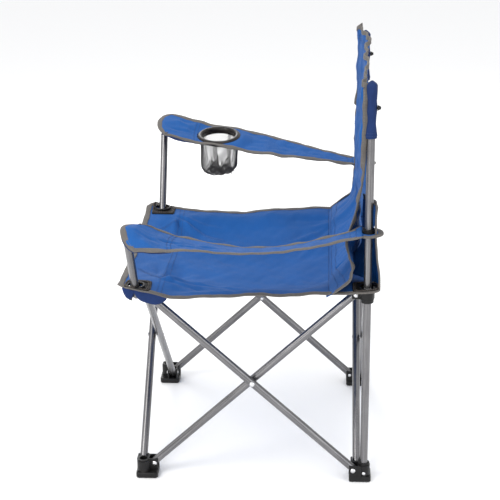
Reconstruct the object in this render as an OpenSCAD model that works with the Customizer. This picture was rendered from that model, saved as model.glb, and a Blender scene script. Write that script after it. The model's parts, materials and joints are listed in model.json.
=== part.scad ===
// Folding camp chair: a four-sided scissor frame with a sling seat, a sling back, two strap
// armrests and a net cup holder. The sitter faces -Y, the sitter's left is +X, the floor is z = 0.
// The four sides of the frame are one shape turned by 90 degrees, so the whole frame gathers
// into a square bundle. Everything is drawn open, ready to sit on.

/* [Frame] */
// Outside diameter of every frame tube
tube_d = 16; // [14:0.5:18]
// Wall thickness of the tubes
tube_wall = 1; // [0.8:0.1:2]
// Distance between the two foot pins of one side
pin_span = 412; // [380:1:440]
// Height of the foot pins above the floor
foot_pin_z = 26; // [24:1:30]
// Height of the hub pins above the floor
hub_pin_z = 410; // [380:1:440]
// From a corner's upright axis to its pins, along the side
pin_inset = 22; // [21:0.5:26]
// Centre distance of the two tubes that cross on one side
pair_gap = 17; // [16.5:0.5:19]
// From a corner's upright axis inward to the plane between the crossing tubes
panel_inset = 6; // [5:0.5:7]
// Radius of the rivets
rivet_r = 2.45; // [2:0.05:3]

/* [Uprights] */
// Height of the top of the rear poles
pole_top = 830; // [780:1:836]
// Length of an arm post above its pivot
post_len = 190; // [160:1:220]
// Outward lean of the left arm post
left_lean = 31; // [20:1:32]
// Outward lean of the right arm post
right_lean = 28; // [20:1:32]
// Height of the loops that hold the armrests to the rear poles
arm_loop_z = 543; // [520:1:570]

/* [Seat and back] */
// Half of the seat's width
seat_half_w = 254; // [254:1:262]
// Half of the seat's depth
seat_half_d = 255; // [250:1:265]
// Height of the seat's top at its corners
seat_z = 430; // [428:0.5:434]
// Sag of the side edges at their middle
edge_sag = 20; // [10:1:26]
// Further sag of the seat's middle
middle_sag = 16; // [5:1:25]
// Half of the backrest's width
back_half_w = 232; // [226:1:236]
// How much narrower each side of the backrest is below the armrests
back_taper = 32; // [30:1:50]
// Height of the top of the backrest at its middle
back_top = 848; // [842:1:870]
// How much higher the backrest's top stands at the right pole than at its middle
back_top_skew = 9; // [0:1:28]
// How far the middle of the backrest bellies to the rear
back_belly = 10; // [0:1:16]
// Thickness of the sewn fabric
cloth = 3; // [2:0.5:4]

/* [Armrests and cup holder] */
// Width of the armrests at the front
arm_w = 112; // [104:1:120]
// Width of the armrests where they meet the rear poles
arm_end_w = 55; // [45:1:70]
// Sag of the left armrest
left_arm_sag = 44; // [0:1:50]
// Outside radius of the cup ring
cup_ring_r = 49; // [46:0.5:50]
// Width of the cup ring's band
cup_ring_band = 8; // [6:0.5:10]
// Depth of the net cup under its ring
cup_depth = 88; // [70:1:110]
// How far the cup's centre is in front of the chair's middle
cup_forward = 100; // [90:1:110]

/* [Hidden] */
$fn = 48;
hull_fn = 24;
tube_r = tube_d / 2;
corner = pin_span / 2 + pin_inset;
panel = corner - panel_inset;
inner_plane = panel - pair_gap / 2;
outer_plane = panel + pair_gap / 2;
pin = pin_span / 2;
rise = hub_pin_z - foot_pin_z;
leg_len = sqrt(pow(pin_span, 2) + pow(rise, 2));
leg_tilt = atan2(rise, pin_span);
leg_overhang = 6;
hole_r = rivet_r + 0.05;

// Plan of a corner moulding, measured from the upright axis with -x and +y pointing inboard
in_x = inner_plane - corner;
out_y = corner - outer_plane;
slot_w = tube_d + 1;
cheek = 3.5;
slot_start = 11.5;
ear_end = 30;
base_h = 12;
foot_h = 36;
screw_hole_z = 19;
socket_r = 11.4;
bore_gap = 0.3;
hub_low = -12;
hub_high = 15;

patch_in = 35;
patch_out = 25;
patch_t = 2.5;
grommet_r = 15.5;
grommet_band = 2.5;
grommet_shift = 6.5;
patch_gap = 0.5;

post_low = 7;
post_swing = 3.2;
loop_r = 13;
loop_h = 14;
arm_front_y = -248;
arm_rear_y = corner - loop_r - 3;
arm_rise = 13;
cap_t = 4;
cup_share = (-cup_forward - arm_front_y) / (arm_rear_y - arm_front_y);
cup_x = arm_x(cup_share, right_lean);
cup_z = 580;
cup_top_r = cup_ring_r - 3;
cup_low_r = cup_top_r - 7;
net_t = 1.6;
screw_z = 790;
pocket_low = 732;
pocket_high = 840;
gusset_low = seat_z + 3;
gusset_high = 600;
gusset_in = 130;
gusset_out = 246;

blue = "royalblue";
grey = "silver";
black = "#26262a";
zinc = "gainsboro";

// ---------- helpers ----------

// Draws the children turned from the front left corner to corner or side number k:
// corners run front left, rear left, rear right, front right; sides left, rear, right, front.
module turned(k) rotate([0, 0, 90 * k]) children();

module on_corner(k) turned(k) translate([corner, -corner, 0]) children();

// side is 1 for the sitter's left and -1 for the sitter's right
module on_side(side) {
    if (side > 0) children();
    else mirror([1, 0, 0]) children();
}

// Cylinder of radius r from x = a to x = b through (y, z)
module rod_x(a, b, r) translate([a, 0, 0]) rotate([0, 90, 0]) cylinder(h = b - a, r = r);

module rod_y(a, b, r) translate([0, a, 0]) rotate([-90, 0, 0]) cylinder(h = b - a, r = r);

// Block with rounded upright edges and a chamfer round its top and bottom
module soft_block(x0, x1, y0, y1, z0, z1, r, chamfer) {
    hull() {
        for (x = [x0 + r, x1 - r], y = [y0 + r, y1 - r]) {
            translate([x, y, z0 + chamfer])
                cylinder(h = z1 - z0 - 2 * chamfer, r = r, $fn = hull_fn);
            translate([x, y, z0]) cylinder(h = z1 - z0, r = r - chamfer, $fn = hull_fn);
        }
    }
}

// Rivet along +x from a to b: a domed head past b and, if peened, a small one before a
module rivet(a, b, peened) {
    rod_x(a, b, rivet_r);
    translate([b, 0, 0]) rotate([0, 90, 0]) dome(5, 2.2);
    if (peened) translate([a, 0, 0]) rotate([0, -90, 0]) dome(3.6, 1.2);
}

module dome(r, h) {
    ball = (r * r + h * h) / (2 * h);
    rotate_extrude()
        intersection() {
            square([r, h]);
            translate([0, h - ball]) circle(ball);
        }
}

// Closed skin of triangles over a row of equal sections. Each section is a closed loop of
// points: half of them along one side of a cloth, the rest back along its other side.
module loft(sections) {
    n = len(sections);
    m = len(sections[0]);
    half = m / 2;
    points = [for (s = sections) each s];
    sides = [
        for (i = [0:n - 2], j = [0:m - 1])
            let (a = i * m + j, b = i * m + (j + 1) % m)
                each [[a, b, b + m], [a, b + m, a + m]]
    ];
    ends = [
        for (j = [0:half - 2])
            let (a = j, b = j + 1, c = m - 2 - j, d = m - 1 - j, e = (n - 1) * m)
                each [[c, b, a], [d, c, a], [a + e, b + e, c + e], [a + e, c + e, d + e]]
    ];
    polyhedron(points, concat(sides, ends));
}

// ---------- scissor tubes ----------

// Tube of a crossing pair on the left side, from its foot pin to its hub pin.
// rear_foot is true for the outer tube, which stands on the rear foot.
module leg(plane, rear_foot) {
    turn = rear_foot ? 180 : 0;
    color(grey)
        translate([plane, rear_foot ? pin : -pin, foot_pin_z])
            rotate([0, 0, turn])
                rotate([leg_tilt, 0, 0])
                    difference() {
                        rod_y(-leg_overhang, leg_len + leg_overhang, tube_r);
                        rod_y(-leg_overhang - 1, leg_len + leg_overhang + 1, tube_r - tube_wall);
                        for (s = [0, 0.5, 1])
                            translate([0, s * leg_len, 0]) rod_x(-tube_d, tube_d, hole_r);
                    }
}

module outer_tube(k) turned(k) leg(outer_plane, true);

module inner_tube(k) turned(k) leg(inner_plane, false);

module cross_rivet(k)
    color(zinc)
        turned(k)
            translate([0, 0, (foot_pin_z + hub_pin_z) / 2])
                rivet(inner_plane - tube_r - 0.3, outer_plane + tube_r + 0.3, true);

// ---------- corner mouldings ----------

// Slots for the ends of the two tubes that meet at a corner, between heights z0 and z1
module tube_slots(z0, z1) {
    translate([in_x - slot_w / 2, slot_start, z0]) cube([slot_w, ear_end, z1 - z0]);
    translate([-slot_start - ear_end, out_y - slot_w / 2, z0]) cube([ear_end, slot_w, z1 - z0]);
}

// Holes for the two rivets of a corner at height 0
module rivet_holes() {
    translate([0, pin_inset, 0]) rod_x(in_x - slot_w, in_x + slot_w, hole_r);
    translate([-pin_inset, 0, 0]) rod_y(out_y - slot_w, out_y + slot_w, hole_r);
}

// Blocks round the two slots, between heights z0 and z1
module ears(z0, z1) {
    half = slot_w / 2 + cheek;
    soft_block(in_x - half, in_x + half, 4, ear_end, z0, z1, 3, 1.5);
    soft_block(-ear_end, -4, out_y - half, out_y + half, z0, z1, 3, 1.5);
}

module foot(k)
    color(black)
        on_corner(k)
            difference() {
                union() {
                    soft_block(-ear_end, 15, -15, ear_end, 0, base_h, 6, 2);
                    ears(0, foot_h);
                    cylinder(h = foot_h + 4, r = socket_r);
                    translate([0, 0, base_h]) cylinder(h = foot_h - base_h, r = socket_r + 1.4);
                }
                tube_slots(base_h, foot_h + 1);
                translate([0, 0, foot_pin_z]) rivet_holes();
                translate([0, 0, 8]) cylinder(h = foot_h, r = tube_r + 0.1);
                translate([0, 0, screw_hole_z]) rod_y(-20, 0, 2.05);
            }

module corner_rivets(k, z) {
    half = slot_w / 2 + cheek;
    color(zinc)
        on_corner(k) {
            translate([0, pin_inset, z]) rivet(in_x - half, in_x + half, true);
            translate([-pin_inset, 0, z]) rotate([0, 0, -90]) rivet(-out_y - half, half - out_y, false);
        }
}

module foot_rivets(k) corner_rivets(k, foot_pin_z);

// A hub is the foot's plan mirrored over the diagonal, because the other two tubes end there
module on_hub(k) on_corner(k) translate([0, 0, hub_pin_z]) mirror([1, 1, 0]) children();

module hub_body() {
    ears(hub_low + 3, hub_high);
    translate([0, 0, hub_low]) cylinder(h = hub_high - hub_low, r = socket_r + 1.2);
    translate([0, 0, hub_low]) cylinder(h = 6, r1 = socket_r - 0.8, r2 = socket_r + 1.8);
}

module sliding_hub(k)
    color(black)
        on_hub(k)
            difference() {
                hub_body();
                tube_slots(hub_low, hub_high - 3.5);
                rivet_holes();
                translate([0, 0, hub_low - 1])
                    cylinder(h = hub_high - hub_low + 2, r = tube_r + bore_gap);
            }

// Front hub: an open fork that lets the arm post lean outward. side is 1 left, -1 right.
module post_hub(k, side)
    color(black)
        difference() {
            on_hub(k)
                difference() {
                    union() {
                        hub_body();
                        translate([-13, -13, hub_low + 3]) cube([26, 26, hub_high - hub_low - 3]);
                    }
                    tube_slots(hub_low, hub_high - 3.5);
                    rivet_holes();
                }
            on_side(side)
                translate([corner - tube_r - post_swing, -corner - tube_r - 0.5, hub_pin_z - 14])
                    cube([40, tube_d + 1, 40]);
            on_side(side)
                translate([corner, -corner, hub_pin_z]) rod_y(-20, 12.7, hole_r);
        }

module hub_rivets(k) {
    half = slot_w / 2 + cheek;
    color(zinc)
        on_hub(k) {
            translate([0, pin_inset, 0]) rivet(in_x - half, in_x + half, true);
            translate([-pin_inset, 0, 0]) rotate([0, 0, -90]) rivet(-out_y - half, half - out_y, false);
        }
}

// ---------- uprights ----------

module pole(side)
    color(grey)
        on_side(side)
            translate([corner, corner, 0])
                difference() {
                    translate([0, 0, 8.5]) cylinder(h = pole_top - 8.5, r = tube_r);
                    translate([0, 0, 8]) cylinder(h = pole_top, r = tube_r - tube_wall);
                    translate([0, 0, screw_z]) rod_y(-20, 20, 2.5);
                    if (side > 0) translate([0, 0, screw_hole_z]) rod_x(0, 20, 2.05);
                    else translate([0, 0, screw_hole_z]) rod_y(0, 20, 2.05);
                }

module tube_cap() {
    cylinder(h = cap_t - 1, r = tube_r);
    translate([0, 0, cap_t - 1]) cylinder(h = 1, r1 = tube_r, r2 = tube_r - 1);
    translate([0, 0, -8]) cylinder(h = 8, r = tube_r - tube_wall - 0.05);
}

module pole_cap(side)
    color(black) on_side(side) translate([corner, corner, pole_top]) tube_cap();

// Screw that pins a pole into its foot, with its head on the foot's outer face
module foot_screw(k)
    color(zinc)
        on_corner(k)
            translate([0, 0, screw_hole_z]) {
                rod_y(-socket_r - 1.5, -5, 2);
                translate([0, -socket_r - 1.5, 0]) rotate([90, 0, 0]) dome(3.6, 1.6);
            }

// Screw with a cone-shaped cap that fixes the backrest's pocket to the pole
module back_screw(side)
    color(black)
        on_side(side)
            translate([corner, corner, screw_z]) {
                rod_y(-tube_r - 2, 11, 2.4);
                translate([0, 11, 0]) rotate([-90, 0, 0]) cylinder(h = 6.5, r1 = 5.5, r2 = 2.5);
            }

module on_post(side)
    on_side(side)
        translate([corner, -corner, hub_pin_z])
            rotate([0, side > 0 ? left_lean : right_lean, 0])
                children();

module arm_post(side)
    color(grey)
        on_post(side)
            difference() {
                translate([0, 0, -post_low]) cylinder(h = post_len + post_low, r = tube_r);
                translate([0, 0, -post_low - 1])
                    cylinder(h = post_len + post_low + 2, r = tube_r - tube_wall);
                rod_y(-20, 20, hole_r);
            }

module post_cap(side) color(black) on_post(side) translate([0, 0, post_len]) tube_cap();

module post_pin(side)
    color(zinc)
        on_side(side)
            translate([corner, -corner, hub_pin_z])
                rotate([0, 0, -90]) rivet(-10.5, 13, false);

module arm_loop(side)
    color(black)
        on_side(side)
            translate([corner, corner, arm_loop_z - loop_h / 2])
                difference() {
                    union() {
                        cylinder(h = loop_h, r = loop_r - 1);
                        translate([0, 0, 3]) cylinder(h = loop_h - 6, r = loop_r);
                    }
                    translate([0, 0, -1]) cylinder(h = loop_h + 2, r = tube_r + bore_gap);
                }

// ---------- fabric ----------

// Square corner patch with its eyelet, through which the pole or post passes
module patch(k, shift)
    color(black)
        on_corner(k)
            translate([0, 0, seat_z - patch_t])
                difference() {
                    union() {
                        translate([-patch_in, -patch_out, 0])
                            cube([patch_in + patch_out, patch_in + patch_out, patch_t]);
                        translate([shift[0], shift[1], -0.8])
                            cylinder(h = patch_t + 1.6, r = grommet_r + grommet_band);
                    }
                    translate([shift[0], shift[1], -2]) cylinder(h = patch_t + 4, r = grommet_r);
                }

function bowl(t, half) = 1 - pow(t / half, 2);
function seat_top(x, y) =
    seat_z - edge_sag * bowl(y, seat_half_d)
    - middle_sag * bowl(x, seat_half_w) * bowl(y, seat_half_d)
    - 6 * bowl(x, seat_half_w);

module seat_fabric() {
    steps = 8;
    across = [for (i = [0:steps]) -seat_half_w + 2 * seat_half_w * i / steps];
    along = [for (i = [0:steps]) -seat_half_d + 2 * seat_half_d * i / steps];
    sections = [
        for (y = along)
            concat(
                [for (x = across) [x, y, seat_top(x, y)]],
                [for (i = [steps:-1:0]) [across[i], y, seat_top(across[i], y) - cloth]]
            )
    ];
    notch = corner - patch_in - patch_gap;
    color(blue)
        difference() {
            loft(sections);
            for (k = [0:3])
                turned(k) translate([notch, -notch - 100, seat_z - 80]) cube([100, 100, 160]);
        }
}

function ease(t) = let (c = min(1, max(0, t))) c * c * (3 - 2 * c);
function back_edge_y(z) = 212 - 30 * ease((715 - z) / 205);
function back_edge_x(z) = back_half_w - back_taper * ease((715 - z) / 150);

// Point of the backrest's rear face: u is -1 at its right edge and 1 at its left edge
function back_point(u, low, share) =
    let (z = low + (back_top - back_top_skew * u - low) * share)
        [u * back_edge_x(z), back_edge_y(z) + back_belly * bowl(u, 1), z];

module back_fabric() {
    steps = 8;
    back_low = seat_z + 2;
    shares = [for (i = [0:steps]) 2 * i / steps - 1];
    sections = [
        for (i = [0:steps])
            let (row = [for (u = shares) back_point(u, back_low, i / steps)])
                concat(
                    [for (p = row) p - [0, cloth, 0]],
                    [for (k = [steps:-1:0]) row[k]]
                )
    ];
    color(blue) loft(sections);
}

// Panel behind a pole, from the seat's rear corner up and inward to the back of the backrest
module gusset(side) {
    steps = 6;
    sections = [
        for (i = [0:steps])
            let (
                z = gusset_low + (gusset_high - gusset_low) * i / steps,
                u = gusset_in / back_edge_x(z),
                inner_y = back_edge_y(z) + back_belly * bowl(u, 1) + 1,
                outer_y = 251 - 7 * ease(2 * i / steps),
                row = [[gusset_in, inner_y, z], [212, outer_y - 1, z], [gusset_out, outer_y, z]]
            )
            concat(row, [for (k = [2:-1:0]) row[k] + [0, cloth, 0]])
    ];
    color(blue) on_side(side) loft(sections);
}

// Sleeve of the backrest over the top of a pole
module pole_pocket(side)
    color(blue)
        on_side(side)
            translate([corner, corner, pocket_low])
                difference() {
                    cylinder(h = pocket_high - pocket_low, r = tube_r + 2.6);
                    translate([0, 0, -1])
                        cylinder(h = pocket_high - pocket_low - 2, r = tube_r + 0.6);
                    translate([0, 0, screw_z - pocket_low]) rod_y(-20, 20, 2.5);
                }

// Line and shape of an armrest, from t = 0 at its front tip to t = 1 at the rear loop
function post_top_x(lean) = corner + post_len * sin(lean);
function post_top_z(lean) = hub_pin_z + (post_len + cap_t) * cos(lean) + tube_r * sin(lean);
function arm_x(t, lean) = post_top_x(lean) + (corner + 2 - post_top_x(lean)) * t;
function arm_width(t) = arm_w + (arm_end_w - arm_w) * ease((t - 0.4) / 0.6);

module armrest_strap(lean, sag, tilt) {
    steps = 14;
    front_z = post_top_z(lean) + arm_rise;
    sections = [
        for (i = [0:steps])
            let (
                t = i / steps,
                half = arm_width(t) / 2,
                twist = tilt * sin(180 * t),
                dx = half * cos(twist),
                dz = half * sin(twist),
                x = arm_x(t, lean),
                y = arm_front_y + (arm_rear_y - arm_front_y) * t,
                z = front_z + (arm_loop_z - front_z) * t - sag * sin(180 * t)
            )
            [
                [x - dx, y, z - dz + cloth / 2], [x + dx, y, z + dz + cloth / 2],
                [x + dx, y, z + dz - cloth / 2], [x - dx, y, z - dz - cloth / 2]
            ]
    ];
    loft(sections);
}

module left_armrest() color(blue) armrest_strap(left_lean, left_arm_sag, 14.5);

module right_armrest()
    color(blue)
        mirror([1, 0, 0])
            difference() {
                armrest_strap(right_lean, 0, 6);
                translate([cup_x, -cup_forward, cup_z - 40]) cylinder(h = 80, r = cup_ring_r + 0.6);
            }

module cup_ring()
    color(black)
        translate([-cup_x, -cup_forward, cup_z])
            rotate_extrude()
                translate([cup_ring_r - cup_ring_band, -4]) {
                    translate([1, 0]) square([cup_ring_band - 2, 8]);
                    translate([0, 1]) square([cup_ring_band, 6]);
                }

// Side band of the net cup, tapering a little downward
module cup_net()
    color("dimgray")
        translate([-cup_x, -cup_forward, cup_z - 4 - cup_depth])
            difference() {
                cylinder(h = cup_depth, r1 = cup_low_r, r2 = cup_top_r);
                translate([0, 0, -0.01])
                    cylinder(h = cup_depth + 0.02, r1 = cup_low_r - net_t, r2 = cup_top_r - net_t);
            }

// Round of net sewn inside the bottom of the side band
module cup_net_floor()
    color("dimgray")
        translate([-cup_x, -cup_forward, cup_z - 4 - cup_depth])
            cylinder(h = net_t, r = cup_low_r - net_t);

// ---------- drawing ----------

outer_tube(0);  // left_outer_tube
inner_tube(0);  // left_inner_tube
outer_tube(1);  // rear_outer_tube
inner_tube(1);  // rear_inner_tube
outer_tube(2);  // right_outer_tube
inner_tube(2);  // right_inner_tube
outer_tube(3);  // front_outer_tube
inner_tube(3);  // front_inner_tube
cross_rivet(0);  // left_cross_rivet
cross_rivet(1);  // rear_cross_rivet
cross_rivet(2);  // right_cross_rivet
cross_rivet(3);  // front_cross_rivet
foot(0);  // front_left_foot
foot(1);  // rear_left_foot
foot(2);  // rear_right_foot
foot(3);  // front_right_foot
foot_rivets(0);  // front_left_foot_rivets
foot_rivets(1);  // rear_left_foot_rivets
foot_rivets(2);  // rear_right_foot_rivets
foot_rivets(3);  // front_right_foot_rivets
post_hub(0, 1);  // front_left_hub
sliding_hub(1);  // rear_left_hub
sliding_hub(2);  // rear_right_hub
post_hub(3, -1);  // front_right_hub
hub_rivets(0);  // front_left_hub_rivets
hub_rivets(1);  // rear_left_hub_rivets
hub_rivets(2);  // rear_right_hub_rivets
hub_rivets(3);  // front_right_hub_rivets
pole(1);  // left_pole
pole(-1);  // right_pole
pole_cap(1);  // left_pole_cap
pole_cap(-1);  // right_pole_cap
foot_screw(1);  // left_foot_screw
foot_screw(2);  // right_foot_screw
back_screw(1);  // left_back_screw
back_screw(-1);  // right_back_screw
arm_post(1);  // left_arm_post
arm_post(-1);  // right_arm_post
post_cap(1);  // left_post_cap
post_cap(-1);  // right_post_cap
post_pin(1);  // left_post_pin
post_pin(-1);  // right_post_pin
arm_loop(1);  // left_arm_loop
arm_loop(-1);  // right_arm_loop
patch(0, [grommet_shift, 0]);  // front_left_patch
patch(1, [0, 0]);  // rear_left_patch
patch(2, [0, 0]);  // rear_right_patch
patch(3, [0, -grommet_shift]);  // front_right_patch
seat_fabric();
back_fabric();
pole_pocket(1);  // left_pole_pocket
pole_pocket(-1);  // right_pole_pocket
gusset(1);  // left_gusset
gusset(-1);  // right_gusset
left_armrest();
right_armrest();
cup_ring();
cup_net();
cup_net_floor();
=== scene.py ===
"""Folding camp chair: the looks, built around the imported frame."""

import json
import math
import random

import bpy
import numpy as np
from mathutils import Matrix, Vector

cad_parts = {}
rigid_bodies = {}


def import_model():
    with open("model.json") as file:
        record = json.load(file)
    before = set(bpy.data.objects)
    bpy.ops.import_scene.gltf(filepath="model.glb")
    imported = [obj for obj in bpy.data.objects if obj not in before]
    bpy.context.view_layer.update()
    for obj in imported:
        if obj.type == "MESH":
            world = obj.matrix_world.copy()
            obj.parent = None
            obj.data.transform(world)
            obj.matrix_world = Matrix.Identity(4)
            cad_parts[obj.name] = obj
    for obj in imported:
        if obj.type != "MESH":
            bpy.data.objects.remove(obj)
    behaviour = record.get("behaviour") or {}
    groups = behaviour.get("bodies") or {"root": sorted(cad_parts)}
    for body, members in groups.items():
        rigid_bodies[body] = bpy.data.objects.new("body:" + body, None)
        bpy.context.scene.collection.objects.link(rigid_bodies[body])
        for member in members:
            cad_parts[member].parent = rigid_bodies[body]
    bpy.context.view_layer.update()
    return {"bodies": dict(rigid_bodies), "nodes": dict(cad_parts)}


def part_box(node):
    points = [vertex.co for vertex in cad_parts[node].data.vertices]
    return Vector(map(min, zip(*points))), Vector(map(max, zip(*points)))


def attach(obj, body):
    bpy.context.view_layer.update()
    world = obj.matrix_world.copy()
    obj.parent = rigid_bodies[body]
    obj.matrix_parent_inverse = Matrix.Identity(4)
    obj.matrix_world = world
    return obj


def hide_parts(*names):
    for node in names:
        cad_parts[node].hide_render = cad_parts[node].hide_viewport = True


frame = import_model()

ROOT = "rear_left_foot"
CORNERS = {"front_left": (1, -1), "rear_left": (1, 1), "rear_right": (-1, 1), "front_right": (-1, -1)}
SIDES = {"left": 1, "right": -1}

# ---------- sizes taken from the frame ----------


def centre_of(node):
    low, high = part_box(node)
    return (low + high) / 2


seat_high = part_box("seat_fabric")[1]
HALF_W = seat_high.x
HALF_D = seat_high.y
SEAT_Z = seat_high.z
CORNER = centre_of("left_pole").x
TUBE_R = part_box("left_pole")[1].x - CORNER
BACK_TOP_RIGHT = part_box("back_fabric")[1].z
BACK_TOP_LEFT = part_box("left_pole_pocket")[1].z - 0.001
BACK_TOP = (BACK_TOP_RIGHT + BACK_TOP_LEFT) / 2
BACK_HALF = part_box("back_fabric")[1].x
HUB_Z = centre_of("left_post_pin").z
LOOP_Z = centre_of("left_arm_loop").z
LOOP_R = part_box("left_arm_loop")[1].x - CORNER
POCKET_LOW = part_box("left_pole_pocket")[0].z
CUP = centre_of("cup_ring")
CUP_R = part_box("cup_ring")[1].x - CUP.x
CUP_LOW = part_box("cup_net")[0].z
# sizes of the cloth, the tape and the sewing, in metres
CLOTH_T = 0.0012
BIND_W = 0.011
BIND_T = 0.0032
BIND_STEP = 0.003
STITCH = 0.0030
SMALL_STITCH = 0.0028
EDGE_SAG = 0.020
MIDDLE_SAG = 0.016
SEAM_Y = 0.155
FLAP_DROP = 0.026
SEAT_FRONT = -HALF_D - 0.008
SEAT_REAR = HALF_D - 0.005
CUP_TILT = math.tan(math.radians(7))
# openings, patches and panels
EYELET_R = 0.0155
PATCH_HALF = 0.0255
PATCH_TURN = 96
SLEEVE_TURN = 48
GUSSET_WIDTH = 0.133
# the armrests' width at the front, at the rear and on average, and the radius of their round ends
ARM_WIDE = 0.112
ARM_NARROW = 0.055
ARM_MEAN = 0.098
ARM_END_R = 0.0275
# the weave's period
THREAD = 0.0011


# ---------- numbers ----------


def ease(t):
    c = np.clip(t, 0.0, 1.0)
    return c * c * (3 - 2 * c)


def bowl(t, half):
    return 1 - np.clip(np.abs(t) / half, 0, 1) ** 2


def waves(x, y, seed, size, count=14):
    """Smooth noise from -1 to 1 over a plane, with features about as large as size."""
    draw = random.Random(seed)
    total = np.zeros_like(np.asarray(x, float) + np.asarray(y, float))
    for _ in range(count):
        angle = draw.uniform(0, 2 * math.pi)
        k = 2 * math.pi / (size * draw.uniform(0.7, 1.8))
        total = total + np.sin(k * (x * math.cos(angle) + y * math.sin(angle)) + draw.uniform(0, 6.3))
    return total / math.sqrt(count)


def ridge(x, y, start, angle, length, width, height):
    """A fold that starts at a point, runs along an angle and fades out."""
    dx, dy = x - start[0], y - start[1]
    along = dx * math.cos(angle) + dy * math.sin(angle)
    off = -dx * math.sin(angle) + dy * math.cos(angle)
    spread = width * (0.6 + np.clip(along / length, 0, 1))
    fade = ease(along / (0.15 * length)) * (1 - ease((along - 0.45 * length) / (0.55 * length)))
    return height * fade * np.exp(-((off / spread) ** 2))


def smooth_interp(at, places, values):
    """Piecewise cubic through the given points."""
    slope = np.gradient(values, places)
    k = np.clip(np.searchsorted(places, at) - 1, 0, len(places) - 2)
    h = places[k + 1] - places[k]
    t = np.clip((at - places[k]) / h, 0, 1)
    a, b = values[k], values[k + 1]
    m0, m1 = slope[k] * h, slope[k + 1] * h
    from_start = (2 * t**3 - 3 * t**2 + 1) * a + (t**3 - 2 * t**2 + t) * m0
    return from_start + (-2 * t**3 + 3 * t**2) * b + (t**3 - t**2) * m1


def turn(count):
    """Angles of count even steps round a circle."""
    return np.linspace(0, 2 * math.pi, count, endpoint=False)


# ---------- meshes ----------


class Shape:
    """Collects points, faces and flat coordinates for one mesh."""

    def __init__(self):
        self.points, self.faces, self.flat, self.count = [], [], [], 0

    def add(self, points, faces, flat=None):
        points = np.asarray(points, float).reshape(-1, 3)
        flat = points[:, :2] if flat is None else np.asarray(flat, float).reshape(-1, 2)
        self.points.append(points)
        self.flat.append(flat)
        self.faces += [tuple(i + self.count for i in f) for f in faces]
        self.count += len(points)

    def object(self, name, material, smooth=True):
        mesh = bpy.data.meshes.new(name)
        points = np.concatenate(self.points)
        flat = np.concatenate(self.flat)
        mesh.from_pydata(points.tolist(), [], self.faces)
        layer = mesh.uv_layers.new(name="flat")
        index = np.zeros(len(mesh.loops), np.int32)
        mesh.loops.foreach_get("vertex_index", index)
        layer.data.foreach_set("uv", flat[index].astype(np.float32).ravel())
        mesh.polygons.foreach_set("use_smooth", [smooth] * len(mesh.polygons))
        mesh.materials.append(material)
        obj = bpy.data.objects.new(name, mesh)
        bpy.context.scene.collection.objects.link(obj)
        return obj


def grid_faces(rows, columns, closed=False, ring=False, keep=None):
    """Quads over rows x columns points. closed joins the last column to the first, and ring the last row."""
    faces = []
    for i in range(rows if ring else rows - 1):
        after = (i + 1) % rows
        for j in range(columns if closed else columns - 1):
            k = (j + 1) % columns
            if keep is None or keep[i, j]:
                faces.append((i * columns + j, i * columns + k, after * columns + k, after * columns + j))
    return faces


def grid(rows, columns):
    """Two arrays of shape (rows, columns) that run from 0 to 1."""
    return np.meshgrid(np.linspace(0, 1, rows), np.linspace(0, 1, columns), indexing="ij")


def sheet_of(surface, flat=None, **how):
    """A shape with quads over a grid of points. how is passed on to grid_faces."""
    shape = Shape()
    shape.add(surface, grid_faces(*surface.shape[:2], **how), flat)
    return shape


def circle_at(centre, r, angle, z):
    """Points at a distance r from the upright axis through centre, at heights z."""
    return np.stack(
        np.broadcast_arrays(centre[0] + r * np.cos(angle), centre[1] + r * np.sin(angle), z), axis=-1
    )


def cell_middles(surface):
    return (surface[1:, 1:] + surface[:-1, :-1]) / 2


def normals_of(surface):
    """Unit normals of a grid of points with shape (rows, columns, 3)."""
    down = np.gradient(surface, axis=0)
    across = np.gradient(surface, axis=1)
    n = np.cross(across, down)
    return n / np.maximum(np.linalg.norm(n, axis=2, keepdims=True), 1e-12)


def unit(v):
    return v / np.maximum(np.linalg.norm(v, axis=-1, keepdims=True), 1e-12)


def lengths(line):
    step = np.linalg.norm(np.diff(line, axis=0), axis=1)
    return np.concatenate([[0], np.cumsum(step)])


def resampled(line, extra, spacing, closed=False):
    """The line and the arrays that go with it, at even steps of about spacing."""
    if closed:
        line = np.vstack([line, line[:1]])
        extra = [np.vstack([e, e[:1]]) for e in extra]
    s = lengths(line)
    n = max(2, int(round(s[-1] / spacing)) + 1)
    at = np.linspace(0, s[-1], n)
    made = [np.column_stack([np.interp(at, s, a[:, k]) for k in range(3)]) for a in [line, *extra]]
    return made[0], [unit(e) for e in made[1:]]


def binding(shape, edge, inward, normal, width, seed, closed=False):
    """Tape folded over a cloth's edge: a flat closed section swept along the edge."""
    edge, (inward, normal) = resampled(edge, [inward, normal], BIND_STEP, closed)
    s = lengths(edge)
    draw = random.Random(seed)
    phase = draw.uniform(0, 6)
    wobble = 0.0006 * np.sin(s * 90 + phase) + 0.0004 * np.sin(s * 233 + phase * 2)
    lift = 0.0004 * np.sin(s * 140 + phase * 3)
    out = 0.0016
    half = BIND_T / 2
    upper = [(-out * 0.7, 0.75), (0.0, 1.0), (width * 0.5, 1.02), (width * 0.86, 0.95), (width, 0.55)]
    section = [(-out, 0.0)] + [(a, half * b) for a, b in upper] + [(a, -half * b) for a, b in reversed(upper)]
    rings, flat = [], []
    around = np.linspace(0, 0.03, len(section))
    for k, (a, b) in enumerate(section):
        reach = a + (wobble if a > 0.5 * width else 0)
        rings.append(edge + inward * (reach * np.ones(len(s)))[:, None] + normal * (b + lift)[:, None])
        flat.append(np.column_stack([s, np.full(len(s), around[k])]))
    points = np.stack(rings, axis=1)
    flats = np.stack(flat, axis=1)
    n, m = points.shape[:2]
    faces = grid_faces(n, m, closed=True)
    if not closed:
        faces += [tuple(range(m))[::-1], tuple((n - 1) * m + j for j in range(m))]
    shape.add(points, faces, flats)


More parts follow.
